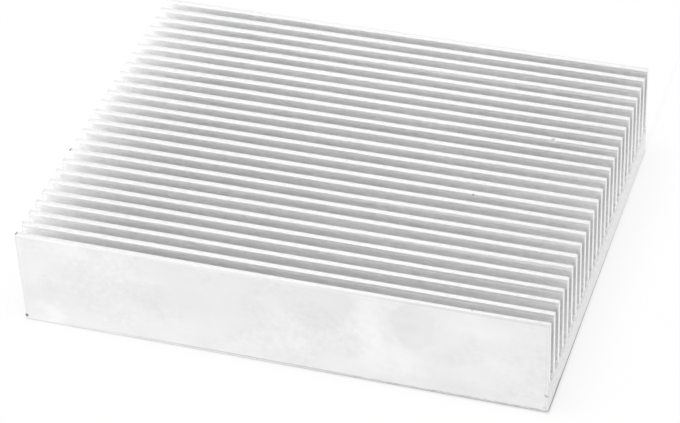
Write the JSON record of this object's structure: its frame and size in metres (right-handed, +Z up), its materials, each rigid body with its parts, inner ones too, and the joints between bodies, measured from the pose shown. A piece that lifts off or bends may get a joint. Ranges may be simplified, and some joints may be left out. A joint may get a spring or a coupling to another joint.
{
  "type": "extruded heat sink",
  "caption": "One-piece extruded heat sink: a thick flat base with straight parallel fins along its length and square sawn ends.",
  "frame": {"origin": "middle of the flat underside", "axes": "+X along the fins, +Y across the fins, +Z up from the underside to the fin tips"},
  "size_m": [0.15, 0.12, 0.03],
  "materials": {
    "aluminium": "mill finish, plain, with fine extrusion lines along the fins and a sawn grain on the ends"
  },
  "bodies": {
    "root": {"heat_sink": "aluminium"}
  },
  "joints": []
}
